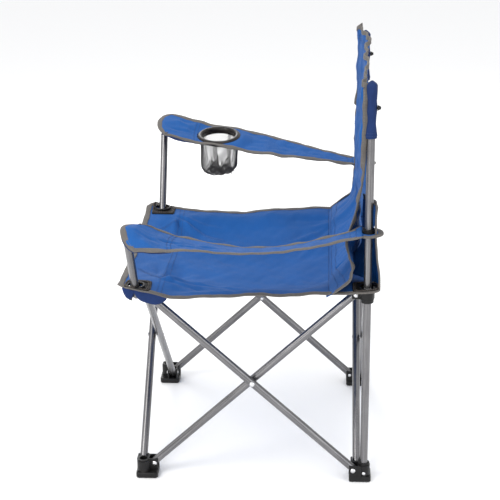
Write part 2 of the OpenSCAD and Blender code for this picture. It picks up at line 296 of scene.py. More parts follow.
def stitches(shape, line, normal, pitch=0.0046, size=STITCH, thick=0.00075, closed=False):
    """A row of sewn stitches: short rounded dashes that sink into the cloth at their ends."""
    lift = 0.0004
    line, (normal,) = resampled(line, [normal], pitch, closed)
    middle = (line[1:] + line[:-1]) / 2
    along = unit(line[1:] - line[:-1])
    up = unit(normal[1:] + normal[:-1])
    side = np.cross(along, up)
    # along the stitch, above the cloth, and how full: in shares of size and thick
    steps = ((-0.5, -0.9, 0.45), (-0.28, 0.25, 1.0), (0.28, 0.25, 1.0), (0.5, -0.9, 0.45))
    corners = 5
    rings = []
    for a, h, r in steps:
        base = middle + along * (a * size) + up * (lift + h * thick * 0.5)
        for k in range(corners):
            angle = 2 * math.pi * k / corners
            rings.append(base + (side * math.cos(angle) + up * math.sin(angle)) * (thick * 0.5 * r))
    points = np.stack(rings, axis=1)
    faces = []
    for i in range(len(middle)):
        o = i * corners * len(steps)
        faces += [tuple(o + v for v in f) for f in grid_faces(len(steps), corners, closed=True)]
        faces.append(tuple(o + corners * (len(steps) - 1) + k for k in range(corners)))
        faces.append(tuple(o + k for k in range(corners))[::-1])
    shape.add(points, faces)


def lathe(shape, profile, centre, segments):
    """A closed outline of points (radius, height) turned round an upright axis through centre."""
    angle = turn(segments)
    rows = np.stack([circle_at(centre, r, angle, centre[2] + z) for r, z in profile])
    shape.add(rows, grid_faces(len(rows), segments, closed=True, ring=True))


# ---------- how soft pieces follow the fold ----------


def hooked(obj, weights_at):
    """obj rides on the standing rear foot, and its points follow the bodies that weights_at names."""
    count = len(obj.data.vertices)
    co = np.zeros(count * 3)
    obj.data.vertices.foreach_get("co", co)
    modifiers_before = len(obj.modifiers)
    for body, weights in weights_at(co.reshape(-1, 3)).items():
        if body == ROOT or float(np.max(weights)) < 1e-4:
            continue
        group = obj.vertex_groups.new(name="follow_" + body)
        shares = np.round(np.clip(weights, 0, 1), 3)
        for share in np.unique(shares):
            if share > 0:
                group.add(np.nonzero(shares == share)[0].tolist(), float(share), "REPLACE")
        hook = obj.modifiers.new("follow_" + body, "HOOK")
        hook.object = frame["bodies"][body]
        hook.vertex_group = group.name
        hook.falloff_type = "NONE"
        hook.strength = 1.0
        hook.matrix_inverse = Matrix.Identity(4)
        obj.modifiers.move(len(obj.modifiers) - 1, len(obj.modifiers) - 1 - modifiers_before)
    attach(obj, ROOT)
    return obj


def seat_weights(p):
    u = np.clip((p[:, 0] + HALF_W) / (2 * HALF_W), 0, 1)
    v = np.clip((p[:, 1] + HALF_D) / (2 * HALF_D), 0, 1)
    near_patch = ease((np.abs(p[:, 0]) - 0.05) / 0.14) * ease((np.abs(p[:, 1]) - 0.05) / 0.14)
    pleats = 0.10 * np.cos(p[:, 0] * 2 * math.pi / 0.085) + 0.06 * np.cos(p[:, 1] * 2 * math.pi / 0.11)
    rise = near_patch + (1 - near_patch) * np.clip(0.12 + pleats, 0, 1)
    made = {}
    shares = {
        "front_left": u * (1 - v), "rear_left": u * v,
        "rear_right": (1 - u) * v, "front_right": (1 - u) * (1 - v),
    }
    for corner, share in shares.items():
        made[corner + "_hub"] = share * rise
        made[corner + "_foot"] = share * (1 - rise)
    return made


def back_weights(p):
    joined = ease((p[:, 2] - 0.43) / 0.14)
    low = p.copy()
    low[:, 1] = SEAM_Y
    made = {body: w * (1 - joined) for body, w in seat_weights(low).items()}
    right = np.clip((HALF_W - p[:, 0]) / (2 * HALF_W), 0, 1)
    pleats = 0.055 * (1 - np.cos(p[:, 0] * 2 * math.pi / 0.10)) * bowl(p[:, 0], BACK_HALF * 0.92)
    made["rear_right_foot"] = made["rear_right_foot"] + right * joined
    made["front_left_foot"] = made["front_left_foot"] + pleats * joined
    return made


def gusset_weights(side):
    """A gusset: sewn to the seat's rear corner, held by the backrest at its top."""

    def at(p):
        rise = ease((0.60 - p[:, 2]) / 0.15)
        return {f"rear_{side}_hub": rise, f"rear_{side}_foot": 1 - rise}

    return at


def arm_weights(side):
    """An armrest: its front moves with the post, its rear with the loop, and its middle hangs."""
    front, rear = ARMS[side]["front_y"], CORNER

    def at(p):
        t = np.clip((p[:, 1] - front) / (rear - front), 0, 1)
        held = np.maximum(1 - ease((t - 0.10) / 0.25), ease((t - 0.75) / 0.20))
        made = {}
        cup = np.zeros(len(p))
        if side == "right":
            off = np.hypot(p[:, 0] - CUP.x, p[:, 1] - CUP.y)
            cup = 1 - ease((off - CUP_R - 0.004) / 0.05)
            made["cup_holder"] = cup
        made[side + "_arm_post"] = (1 - t) * held * (1 - cup)
        made[side + "_arm_loop"] = t * held * (1 - cup)
        made["front_" + side + "_foot"] = (1 - t) * (1 - held) * (1 - cup)
        made["rear_" + side + "_foot"] = t * (1 - held) * (1 - cup)
        return made

    return at


# ---------- materials ----------


class Nodes:
    """A material's node tree with short calls. An input takes a number, a colour or another node's socket."""

    def __init__(self, name, slot):
        self.material = bpy.data.materials.new(name)
        self.material.use_nodes = True
        self.slot = slot
        self.tree = self.material.node_tree
        self.bsdf = self.tree.nodes["Principled BSDF"]

    def put(self, socket, value):
        if isinstance(value, bpy.types.NodeSocket):
            self.tree.links.new(value, socket)
        else:
            socket.default_value = value

    def new(self, kind, inputs, **settings):
        node = self.tree.nodes.new(kind)
        for key, value in settings.items():
            setattr(node, key, value)
        for key, value in inputs.items():
            self.put(node.inputs[key], value)
        return node

    def math(self, operation, a, b):
        return self.new("ShaderNodeMath", {0: a, 1: b}, operation=operation).outputs[0]

    def mixed(self, *parts):
        """The sum of some sockets, each times its share."""
        total = None
        for socket, share in parts:
            part = socket if share == 1 else self.math("MULTIPLY", socket, share)
            total = part if total is None else self.math("ADD", total, part)
        return total

    def coordinates(self, kind="Object"):
        return self.new("ShaderNodeTexCoord", {}).outputs[kind]

    def stretched(self, vector, scale):
        return self.new("ShaderNodeMapping", {"Scale": scale, "Vector": vector}).outputs[0]

    def noise(self, vector, scale, detail=3.0, rough=0.55):
        inputs = {"Scale": scale, "Detail": detail, "Roughness": rough, "Vector": vector}
        return self.new("ShaderNodeTexNoise", inputs).outputs[0]

    def wave(self, vector, direction, period, distortion=0.0):
        inputs = {"Scale": 1 / (period * 20) * 2 * math.pi, "Distortion": distortion, "Vector": vector}
        return self.new("ShaderNodeTexWave", inputs, bands_direction=direction).outputs["Fac"]

    def ramp(self, value, *stops):
        node = self.new("ShaderNodeValToRGB", {"Fac": value})
        while len(node.color_ramp.elements) < len(stops):
            node.color_ramp.elements.new(0.5)
        for element, (place, colour) in zip(node.color_ramp.elements, stops):
            element.position = place
            element.color = (*colour, 1)
        return node.outputs["Color"]

    def span(self, value, low, high):
        inputs = {"Value": value, "To Min": low, "To Max": high}
        return self.new("ShaderNodeMapRange", inputs).outputs["Result"]

    def bump(self, height, strength, distance, **under):
        inputs = {"Height": height, "Strength": strength, "Distance": distance, **under}
        return self.new("ShaderNodeBump", inputs).outputs["Normal"]

    def set(self, **inputs):
        for key, value in inputs.items():
            self.put(self.bsdf.inputs[key.replace("_", " ")], value)
        return self


def scaled(colour, k):
    return tuple(min(1.0, c * k) for c in colour)


def woven(name, slot, colour, sheen=0.03):
    """Plain woven polyester: crossing threads, slubs, soft fading and a light sheen."""
    n = Nodes(name, slot)
    flat = n.coordinates("UV")
    place = n.coordinates()
    threads = n.math("MAXIMUM", n.wave(flat, "X", THREAD), n.wave(flat, "Y", THREAD))
    slubs = n.noise(n.stretched(flat, (30, 420, 1)), 1.0, 2.0)
    cloud = n.noise(place, 9.0, 4.0)
    crease = n.noise(n.stretched(place, (1.0, 1.6, 1.0)), 34.0, 3.0, 0.6)
    shade = n.mixed((cloud, 0.55), (slubs, 0.25), (threads, 0.2))
    return n.set(
        Base_Color=n.ramp(shade, (0.25, scaled(colour, 0.80)), (0.55, colour), (0.85, scaled(colour, 1.22))),
        Roughness=n.span(cloud, 0.70, 0.86),
        Normal=n.bump(crease, 0.30, 0.0022, Normal=n.bump(threads, 0.35, 0.0003)),
        Sheen_Weight=sheen, Sheen_Roughness=0.45, Specular_IOR_Level=0.22,
    )


def ribbed(name, slot, colour):
    """Edge binding tape with fine ribs across it and a fuzzy weave."""
    n = Nodes(name, slot)
    place = n.coordinates()
    ribs = n.wave(n.coordinates("UV"), "X", 0.0026, 0.6)
    fuzz = n.noise(place, 420.0, 3.0)
    shade = n.mixed((ribs, 0.45), (fuzz, 0.25), (n.noise(place, 22.0, 3.0), 0.30))
    return n.set(
        Base_Color=n.ramp(shade, (0.2, scaled(colour, 0.62)), (0.6, colour), (0.9, scaled(colour, 1.35))),
        Roughness=n.span(fuzz, 0.72, 0.92),
        Normal=n.bump(n.mixed((ribs, 1), (fuzz, 0.4)), 0.55, 0.0006),
        Sheen_Weight=0.06, Specular_IOR_Level=0.2,
    )


def thread(name, slot, colour):
    n = Nodes(name, slot)
    twist = n.noise(n.coordinates(), 900.0, 2.0)
    return n.set(
        Base_Color=n.ramp(twist, (0.3, scaled(colour, 0.75)), (0.7, scaled(colour, 1.2))),
        Roughness=n.span(twist, 0.55, 0.75),
    )


def painted_steel(name, direction):
    """Silver-vein powder coat: fine streaks along the tube, speckle and slight unevenness."""
    n = Nodes(name, "frame_paint")
    place = n.coordinates()
    axis = n.new("ShaderNodeVectorMath", {0: place, 1: direction}, operation="DOT_PRODUCT")
    pull = n.math("MULTIPLY", axis.outputs["Value"], 0.975)
    pulled = n.new("ShaderNodeVectorMath", {0: direction, "Scale": pull}, operation="SCALE")
    across = n.new("ShaderNodeVectorMath", {0: place, 1: pulled.outputs[0]}, operation="SUBTRACT")
    streaks = n.noise(across.outputs[0], 520.0, 4.0, 0.6)
    speckle = n.noise(place, 1500.0, 2.0)
    shade = n.mixed((streaks, 0.6), (n.noise(place, 14.0, 3.0), 0.4))
    dark, middle, pale = (0.100, 0.099, 0.104), (0.165, 0.162, 0.167), (0.25, 0.244, 0.248)
    return n.set(
        Base_Color=n.ramp(shade, (0.30, dark), (0.52, middle), (0.75, pale)),
        Roughness=n.span(n.mixed((streaks, 0.6), (speckle, 0.4)), 0.18, 0.38),
        Normal=n.bump(n.mixed((streaks, 1), (speckle, 0.5)), 0.10, 0.0004),
        Metallic=0.88, Specular_IOR_Level=0.5, Coat_Weight=0.25, Coat_Roughness=0.18,
    )


def zinc_metal():
    n = Nodes("zinc_plate", "zinc")
    grain = n.noise(n.stretched(n.coordinates(), (1, 1, 6)), 300.0, 4.0)
    return n.set(
        Base_Color=n.ramp(grain, (0.3, (0.48, 0.48, 0.50)), (0.7, (0.78, 0.78, 0.79))),
        Roughness=n.span(grain, 0.20, 0.42), Normal=n.bump(grain, 0.12, 0.0003), Metallic=1.0,
    )


def moulded(name, slot, colour, rough, grain_size=900.0, strength=0.35):
    """Moulded plastic with a fine grain and paler, drier patches from handling."""
    n = Nodes(name, slot)
    place = n.coordinates()
    wear = n.noise(place, 60.0, 5.0, 0.65)
    return n.set(
        Base_Color=n.ramp(wear, (0.35, colour), (0.62, scaled(colour, 1.5)), (0.80, scaled(colour, 2.6))),
        Roughness=n.span(wear, rough * 0.8, min(1.0, rough * 1.35)),
        Normal=n.bump(n.noise(place, grain_size, 3.0), strength, 0.0004), Specular_IOR_Level=0.25,
    )


def webbing(name, colour):
    """Coarse black webbing with a plain basket weave."""
    n = Nodes(name, "black_webbing")
    flat = n.coordinates("UV")
    weave = n.math("MULTIPLY", n.wave(flat, "X", 0.0021), n.wave(flat, "Y", 0.0021))
    cloud = n.noise(n.coordinates(), 45.0, 4.0)
    shade = n.mixed((weave, 0.5), (cloud, 0.5))
    return n.set(
        Base_Color=n.ramp(shade, (0.2, scaled(colour, 0.6)), (0.5, colour), (0.9, scaled(colour, 2.6))),
        Roughness=n.span(cloud, 0.5, 0.8), Normal=n.bump(weave, 0.6, 0.0006),
        Sheen_Weight=0.02, Specular_IOR_Level=0.2,
    )


blue = woven("blue_cloth", "blue_fabric", (0.0064, 0.074, 0.265))
# a darker copy of the blue cloth for the under flaps, pole sleeves and armrest pockets: painted shade, since
# these pieces sit in shadow
blue_painted_shade = woven("blue_cloth_painted_shade", "blue_fabric", (0.0060, 0.022, 0.092), sheen=0.02)
grey = ribbed("grey_tape", "grey_binding", (0.120, 0.111, 0.103))
blue_thread = thread("blue_thread", "blue_fabric", (0.0075, 0.034, 0.125))
grey_thread = thread("grey_thread", "grey_binding", (0.17, 0.16, 0.15))
black_thread = thread("black_thread", "black_webbing", (0.125, 0.100, 0.085))
black_web = webbing("black_patch", (0.0095, 0.0085, 0.0080))
plastic = moulded("black_moulding", "black_plastic", (0.0060, 0.0058, 0.0060), 0.40)
gloss = moulded("gloss_ring", "gloss_black", (0.0075, 0.0060, 0.0055), 0.26, 1500.0, 0.05)
net_fibre = thread("net_fibre", "black_net", (0.030, 0.028, 0.028))
zinc = zinc_metal()


# ---------- pieces ----------


def piece(shape, name, look, weights=None, body=ROOT, thick=None, offset=-1.0, stands_for=(), smooth=True):
    """The shape as a finished piece, which follows the bodies that weights names or rides on one body."""
    obj = shape.object(name, look.material, smooth)
    if thick:
        solid = obj.modifiers.new("thickness", "SOLIDIFY")
        solid.thickness = thick
        solid.offset = offset
    if weights:
        hooked(obj, weights)
    else:
        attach(obj, body)
    for node in stands_for:
        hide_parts(node)
    return obj


def stretch_of(walk, index):
    """The part of a closed walk round an edge that index picks out."""
    index = np.asarray(index) % len(walk[0])
    return [line[index] for line in walk]


def bound_edge(names, walk, weights, width, sewn_at, seed, faces=(1, -1), size=STITCH, closed=False):
    """Binding tape along an edge, and its stitches on one or both faces, as two pieces."""
    edge, inward, normal = walk
    tape = Shape()
    binding(tape, edge, inward, normal, width=width, seed=seed, closed=closed)
    sewn = Shape()
    for face in faces:
        line = edge + inward * sewn_at + face * normal * (BIND_T * 0.42)
        stitches(sewn, line, face * normal, pitch=0.0044, size=size, closed=closed)
    return piece(tape, names[0], grey, weights), piece(sewn, names[1], grey_thread, weights)


def seam_rows(surface, cuts, lift=0.0007):
    """Rows of stitches on both faces of a surface; each cut is an index into its grid."""
    rows = Shape()
    n = normals_of(surface)
    for cut in cuts:
        for face in (1, -1):
            stitches(rows, surface[cut] + face * n[cut] * lift, face * n[cut])
    return rows


# ---------- materials on the frame's own parts ----------


def paint_frame():
    tilt = math.atan2(HUB_Z - centre_of("front_left_foot_rivets").z, 2 * (CORNER - 0.022))
    c, s = math.cos(tilt), math.sin(tilt)
    steel = {}
    leg_directions = {"left": (0, -1), "rear": (1, 0), "right": (0, 1), "front": (-1, 0)}
    for side, (dx, dy) in leg_directions.items():
        steel[side + "_outer_tube"] = (dx * c, dy * c, s)
        steel[side + "_inner_tube"] = (-dx * c, -dy * c, s)
    for side, sign in SIDES.items():
        steel[side + "_pole"] = (0, 0, 1)
        top = centre_of(side + "_post_cap")
        lean = math.atan2(abs(top.x) - CORNER, top.z - HUB_Z)
        steel[side + "_arm_post"] = (sign * math.sin(lean), 0, math.cos(lean))
    for node, obj in frame["nodes"].items():
        if node in steel:
            look = painted_steel("steel_" + node, steel[node])
        elif "rivet" in node or node.endswith(("_pin", "foot_screw")):
            look = zinc
        elif node.endswith(("_foot", "_hub", "_cap", "_loop", "_screw")):
            look = plastic
        else:
            continue
        if not obj.material_slots:
            obj.data.materials.append(look.material)
        for place in obj.material_slots:
            place.material = look.material


# ---------- seat ----------


# how far the seat's left and right edges hang, from front to rear: place, drop
NEAR_EDGE = np.array([
    (-0.260, 0.0), (-0.205, 0.0015), (-0.185, 0.0075), (-0.160, 0.0150), (-0.120, 0.0160), (-0.080, 0.0130),
    (0.000, 0.0102), (0.080, 0.0077), (0.155, 0.0035), (0.210, 0.0), (0.260, 0.0),
])
FAR_EDGE = np.array([
    (-0.260, 0.0), (-0.205, 0.0005), (-0.165, 0.0042), (-0.120, 0.0085), (-0.075, 0.0085), (-0.030, 0.0075),
    (0.010, 0.0040), (0.080, -0.0020), (0.125, -0.0025), (0.200, 0.0), (0.260, 0.0),
])


def seat_height(x, y):
    """The seat's top: flat at the four patches, sagging along its edges and more in the middle."""
    flat_from = 0.193
    away = np.hypot(np.maximum(0, flat_from - np.abs(x)), np.maximum(0, flat_from - np.abs(y)))
    free = ease(away / 0.085)
    far = ease((-x - 0.02) / 0.2) * ease((y + 0.12) / 0.2)
    near = ease((x - 0.10) / 0.12) * ease(y / 0.12)
    tight = 1 - 0.95 * far - 0.28 * near
    sag = EDGE_SAG * tight * bowl(y, HALF_D) + MIDDLE_SAG * bowl(x, HALF_W) * bowl(y, HALF_D)
    sag = sag + 0.006 * bowl(x, HALF_W)
    tip = ease((np.abs(x) - 0.20) / 0.05) * ease((np.abs(y) - 0.21) / 0.045)
    tip_lift = np.where(y < 0, np.where(x < 0, 0.011, 0.007), 0.004) * tip
    drop = free * sag * 1.08
    for sign, edge in ((1, NEAR_EDGE), (-1, FAR_EDGE)):
        at_edge = ease((sign * x - 0.17) / 0.06)
        drop = drop * (1 - at_edge) + smooth_interp(y, edge[:, 0], edge[:, 1]) * at_edge
    return SEAT_Z - 0.0022 - drop + tip_lift


def seat_folds(x, y):
    total = 0.0012 * waves(x, y, 11, 0.09) + 0.0006 * waves(x, y, 12, 0.035)
    draw = random.Random(21)
    for sx in (1, -1):
        for sy in (1, -1):
            toward = math.atan2(-sy, -sx)
            strength = 1.0 if sy < 0 else 0.75
            for k in range(9):
                angle = toward + math.radians(-46 + 11.5 * k + draw.uniform(-4, 4))
                start = (sx * 0.185 + draw.uniform(-0.01, 0.01), sy * 0.188 + draw.uniform(-0.01, 0.01))
                height = strength * draw.uniform(0.0018, 0.0050) * (1 if k % 2 else -0.8)
                length, width = draw.uniform(0.10, 0.23), draw.uniform(0.006, 0.011)
                total = total + ridge(x, y, start, angle, length, width, height)
    for k in range(10):
        start = (0.235 - 0.011 * k, draw.uniform(-0.19, -0.10))
        height = draw.uniform(0.001, 0.0028) * (1 if k % 2 else -0.7)
        angle, length = math.radians(draw.uniform(82, 98)), draw.uniform(0.14, 0.26)
        total = total + ridge(x, y, start, angle, length, 0.008, height)
    border = np.minimum(HALF_W - np.abs(x), HALF_D - np.abs(y))
    return total * (0.35 + 0.65 * ease(border / 0.03))


def seat_surface(x, y):
    edge_wave = 0.0016 * np.sin(y * 52 + 1.0) * ease((np.abs(x) - 0.20) / 0.05)
    edge_wave = edge_wave * ease((0.18 - np.abs(y)) / 0.05)
    near_post = np.hypot(np.abs(x) - 0.2265, np.abs(y) - 0.226)
    free = ease((near_post - 0.030) / 0.02)
    return seat_height(x, y) + (seat_folds(x, y) + edge_wave) * free


def outline_shift(x, y):
    """The side edges bow in a little between the corners."""
    pull = 0.006 * bowl(y, HALF_D * 0.8)
    return x - np.sign(x) * pull * ease((np.abs(x) - 0.12) / 0.13)


def seat_grid(rows=132, columns=132):
    v, u = grid(rows, columns)
    x0 = (2 * u - 1) * (HALF_W - 0.001)
    y0 = SEAT_FRONT + (SEAT_REAR - SEAT_FRONT) * v
    corner_cut = 0.012
    over = np.maximum(0, np.abs(x0) + np.abs(y0) - (HALF_W + HALF_D - corner_cut))
    x0 = x0 - np.sign(x0) * over * 0.45
    y0 = y0 - np.sign(y0) * over * 0.45
    x = outline_shift(x0, y0)
    return np.stack([x, y0, seat_surface(x0, y0)], axis=2)


def eyelet_at(name):
    """Centre of the opening in a corner patch. The front ones stand a little outward."""
    sx, sy = CORNERS[name]
    return sx * (CORNER + (0.0065 if sy < 0 else 0.0)), sy * CORNER


def perimeter(surface, depth=0):
    """Edge points of a grid in order, with inward directions and normals.

    With a depth, the normals come from that many cells in and are evened out along the edge.
    """
    n = normals_of(surface)
    rows, columns = surface.shape[:2]
    walk = [(0, j) for j in range(columns - 1)] + [(i, columns - 1) for i in range(rows - 1)]
    walk += [(rows - 1, j) for j in range(columns - 1, 0, -1)] + [(i, 0) for i in range(rows - 1, 0, -1)]
    index = np.array(walk)
    edge = surface[index[:, 0], index[:, 1]]
    inner = np.clip(index, 3, [rows - 4, columns - 4])
    inward = unit(surface[inner[:, 0], inner[:, 1]] - edge)
    level = np.clip(index, depth, [rows - 1 - depth, columns - 1 - depth])
    normal = n[level[:, 0], level[:, 1]]
    if depth:
        normal = unit(sum(np.roll(normal, k, axis=0) for k in range(-3, 4)))
    inward = unit(inward - normal * np.sum(inward * normal, axis=1, keepdims=True))
    return edge, inward, normal


def on_seat(points):
    x, y = points[:, 0], points[:, 1]
    return np.column_stack([outline_shift(x, y), y, seat_surface(x, y)])


def seat_seam_lines():
    """Two rows across the front hem, two along the backrest, and two at a slant in each front corner."""
    xs = np.linspace(-HALF_W + 0.012, HALF_W - 0.012, 160)
    lines = []
    for y in (-0.187, -0.178, SEAM_Y - 0.003, SEAM_Y + 0.006):
        bend = 0.004 * bowl(xs, HALF_W) if y < 0 else 0.0
        lines.append(np.column_stack([xs, np.full(len(xs), y) + bend]))
    for sx in (1, -1):
        for gap in (0.0, 0.006):
            start = np.array([sx * 0.110, -0.243 + gap])
            end = np.array([sx * 0.178, -0.183 + gap])
            lines.append(start + (end - start) * np.linspace(0, 1, 30)[:, None])
    return lines


def build_seat():
    surface = seat_grid()
    middle = cell_middles(surface)
    keep = np.ones(middle.shape[:2], bool)
    for name in CORNERS:
        x, y = eyelet_at(name)
        keep &= np.hypot(middle[:, :, 0] - x, middle[:, :, 1] - y) > EYELET_R + 0.001
    cloth = sheet_of(surface, keep=keep)
    seat = piece(cloth, "seat_cloth", blue, seat_weights, thick=CLOTH_T, stands_for=["seat_fabric"])
    tape, sewn = bound_edge(
        ("seat_binding", "seat_binding_stitches"), perimeter(surface), seat_weights,
        width=BIND_W, sewn_at=BIND_W * 0.72, seed=3, faces=(1,), size=SMALL_STITCH, closed=True,
    )
    rows_sewn = Shape()
    for line in seat_seam_lines():
        stitches(rows_sewn, on_seat(line), np.tile([0.0, 0.0, 1.0], (len(line), 1)))
    seams = piece(rows_sewn, "seat_seams", blue_thread, seat_weights)


def patch_ring(name, share, lift):
    """Points round a corner patch, from its eyelet at share 0 to its rounded square edge at share 1."""
    sx, sy = CORNERS[name]
    low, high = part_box(name + "_patch")
    cx = sx * (CORNER - (0.002 if sy < 0 else 0.005))
    cy = (low.y + high.y) / 2 + sy * 0.001
    angles = turn(PATCH_TURN)
    ca, sa = np.abs(np.cos(angles)), np.abs(np.sin(angles))
    less, more = np.minimum(ca, sa), np.maximum(ca, sa)
    corner_round = 1 - 0.05 * (less / more) ** 6
    square = circle_at((cx, cy), PATCH_HALF / more * corner_round, angles, 0.0)
    inner = circle_at(eyelet_at(name), EYELET_R + 0.0005, angles, 0.0)
    flat = inner[:, :2] + (square[:, :2] - inner[:, :2]) * share
    pucker = 0.0005 * np.sin(angles * 9 + share * 5) * share * (1 - share) * 4
    return np.column_stack([flat, seat_surface(flat[:, 0], flat[:, 1]) + lift + pucker])


def build_patches():
    """Stitched black patches with plastic eyelets at the seat's corners."""
    steps = 14
    for name in CORNERS:
        hub = name + "_hub"
        top = [patch_ring(name, i / steps, 0.0018) for i in range(steps + 1)]
        under = [patch_ring(name, 1 - i / steps, 0.0002) for i in range(steps + 1)]
        patch = sheet_of(np.stack(top + under), closed=True, ring=True)
        raised = ((0.55, 0.0015), (0.55, 0.0029), (0.90, 0.0029), (0.90, 0.0015))
        border = np.stack([patch_ring(name, share, lift) for share, lift in raised])
        patch.add(border, grid_faces(len(raised), PATCH_TURN, closed=True))
        piece(patch, name + "_patch_cloth", black_web, body=hub, stands_for=[name + "_patch"])

        sewn = Shape()
        up = np.tile([0.0, 0.0, 1.0], (PATCH_TURN, 1))
        for share in (0.84, 0.62):
            line = patch_ring(name, share, 0.0030)
            stitches(sewn, line, up, pitch=0.0042, size=0.0027, thick=0.0008, closed=True)
        piece(sewn, name + "_patch_stitches", black_thread, body=hub)

        ring = Shape()
        x, y = eyelet_at(name)
        z = float(seat_surface(np.array([x]), np.array([y]))[0])
        profile = [
            (-0.0004, -0.0012), (-0.0004, 0.0032), (0.0004, 0.0040), (0.0016, 0.0041), (0.0028, 0.0036),
            (0.0034, 0.0026), (0.0034, 0.0016), (0.0028, -0.0012),
        ]
        lathe(ring, [(EYELET_R + r, h) for r, h in profile], (x, y, z), 64)
        piece(ring, name + "_eyelet", plastic, body=hub)


def build_under_flaps():
    """Doubled cloth that hangs in two lobes under the seat's two front corners, round the hubs."""
    length = 0.086
    v, u = grid(18, 90)
    along = SEAT_FRONT + 0.011 + length * u
    first = np.sin(math.pi * np.clip(u / 0.27, 0, 1)) ** 0.6
    second = np.clip((u - 0.25) / 0.75, 0, 1)
    lobes = np.maximum(0.96 * first, np.sin(math.pi * second**0.85) ** 0.5)
    x_edge = HALF_W - 0.003 - 0.001 * np.sin(u * math.pi)
    x = x_edge - 0.0015 - 0.003 * v**2 + 0.0012 * np.sin(u * 16 + v * 2) * v
    top_z = seat_surface(np.full_like(along, HALF_W - 0.003), along) - 0.0008
    z = top_z - v * FLAP_DROP * np.clip(lobes, 0.04, 1)
    for side, sx in SIDES.items():
        flap = sheet_of(np.stack([sx * x, along, z], axis=2))
        # the flaps take the darker blue copy: painted shade under the seat's corners
        obj = piece(flap, f"front_{side}_flap", blue_painted_shade, seat_weights, thick=CLOTH_T)


# ---------- backrest ----------

# the backrest's near edge, from its seam to its top: height, y, half width
WING = np.array([
    (0.417, 0.150, 0.2475), (0.430, 0.172, 0.246), (0.448, 0.194, 0.243), (0.469, 0.200, 0.236),
    (0.492, 0.194, 0.226), (0.517, 0.186, 0.213), (0.550, 0.195, 0.201), (0.593, 0.206, 0.203),
    (0.640, 0.214, 0.214), (0.690, 0.2180, 0.225), (0.740, 0.2195, 0.2305), (0.800, 0.2195, 0.2310),
    (0.848, 0.2195, 0.2290),
])


def back_grid(rows=124, columns=124):
    v, u = grid(rows, columns)
    side = 2 * u - 1
    curl = 0.93
    s = np.clip(side / curl, -1, 1)
    turned_back = np.clip((np.abs(side) - curl) / (1 - curl), 0, 1)
    top_z = BACK_TOP + (BACK_TOP_LEFT - BACK_TOP) * s
    z_seam = seat_height(s * 0.245, np.full_like(s, SEAM_Y)) + 0.001
    z_edge = WING[0, 0] + (top_z - WING[0, 0]) * v
    z_mid = z_seam + (top_z - z_seam) * v
    edge_share = ease((np.abs(s) - 0.55) / 0.45)
    z = z_mid + (z_edge - z_mid) * edge_share
    half = smooth_interp(z_edge, WING[:, 0], WING[:, 2])
    wing_y = smooth_interp(z_edge, WING[:, 0], WING[:, 1])
    far_y = 0.155 + 0.054 * ease((z_edge - 0.417) / 0.06) + 0.0117 * ease((z_edge - 0.65) / 0.08)
    wing_y = np.where(s < 0, far_y, wing_y)
    turned = ease((z_edge - 0.66) / 0.06)
    strip = np.where(s > 0, 0.0105, 0.0090) * turned
    mid_y = SEAM_Y + 0.060 * ease((z - z_seam) / 0.085) + 0.008 * ease((z - 0.55) / 0.2)
    y = mid_y + (wing_y - strip - mid_y) * edge_share + strip * turned_back
    x = s * half + np.sign(s) * (0.0015 * np.sin(turned_back * 3.1) + (1 - turned) * 0.006 * turned_back)
    low = 1 - ease((z - 0.47) / 0.12)
    folds = 0.0016 * waves(x, z, 31, 0.08) + 0.0007 * waves(x, z, 32, 0.03)
    draw = random.Random(41)
    for k in range(12):
        sign = 1 if k % 2 else -0.8
        start = (-0.21 + 0.038 * k, 0.43)
        lean = math.radians(90 + draw.uniform(-14, 14))
        length, height = draw.uniform(0.08, 0.20), sign * draw.uniform(0.001, 0.003)
        folds = folds + ridge(x, z, start, lean, length, 0.008, height)
    for k in range(8):
        sx = 1 if k < 4 else -1
        start = (sx * 0.195, 0.54 - 0.012 * (k % 4))
        lean = math.radians(90 + sx * (58 + 9 * (k % 4)))
        folds = folds + ridge(x, z, start, lean, 0.16, 0.009, (1 if k % 2 else -0.8) * 0.0022)
    fade = ease((z - z_seam) / 0.03) * (1 - 0.8 * turned_back)
    y = y + folds * fade
    top = ease((z - (top_z - 0.055)) / 0.055)
    ruffle = 0.0038 * np.sin(x * 66 + 0.9 * np.sin(x * 23) + 2.0) + 0.0012 * np.sin(x * 131 + 1.0)
    bulge = 0.008 * np.exp(-(((x + 0.13) / 0.06) ** 2))
    y = y + top * (ruffle + bulge) * (1 - ease((np.abs(s) - 0.84) / 0.16))
    z = z + top * 0.0016 * np.sin(x * 66 + 3.4) * (1 - ease((np.abs(s) - 0.84) / 0.16))
    y = y - 0.0025 * low * np.abs(s)
    z = z - np.where(s > 0, 0.003 * turned_back, 0.009 * (1 - turned_back) * ease((-s - 0.88) / 0.12)) * top
    return np.stack([x, y, z], axis=2)


def build_back():
    surface = back_grid()
    rows, columns = surface.shape[:2]
    cloth = sheet_of(surface, surface[:, :, [0, 2]])
    back = piece(cloth, "back_cloth", blue, back_weights, thick=CLOTH_T, offset=0, stands_for=["back_fabric"])
    # the tape runs up one side, over the top and down the other, from just above the seat
    start = columns - 1
    end = start + (rows - 1) + (columns - 1) + (rows - 1)
    walk = stretch_of(perimeter(surface), range(start + 2, end - 1))
    names = ("back_binding", "back_binding_stitches")
    tape, sewn = bound_edge(
        names, walk, back_weights, width=0.0088, sewn_at=0.0063, seed=5, size=SMALL_STITCH
    )
    hem = int(rows * 0.93)
    sides = slice(int(rows * 0.62), rows - 3)
    cuts = [(row, slice(3, -3)) for row in (4, 7)] + [(row, slice(4, -4)) for row in (hem, hem + 2)]
    cuts += [(sides, column) for column in (9, 12, columns - 13, columns - 10)]
    seams = piece(seam_rows(surface, cuts), "back_seams", blue_thread, back_weights)


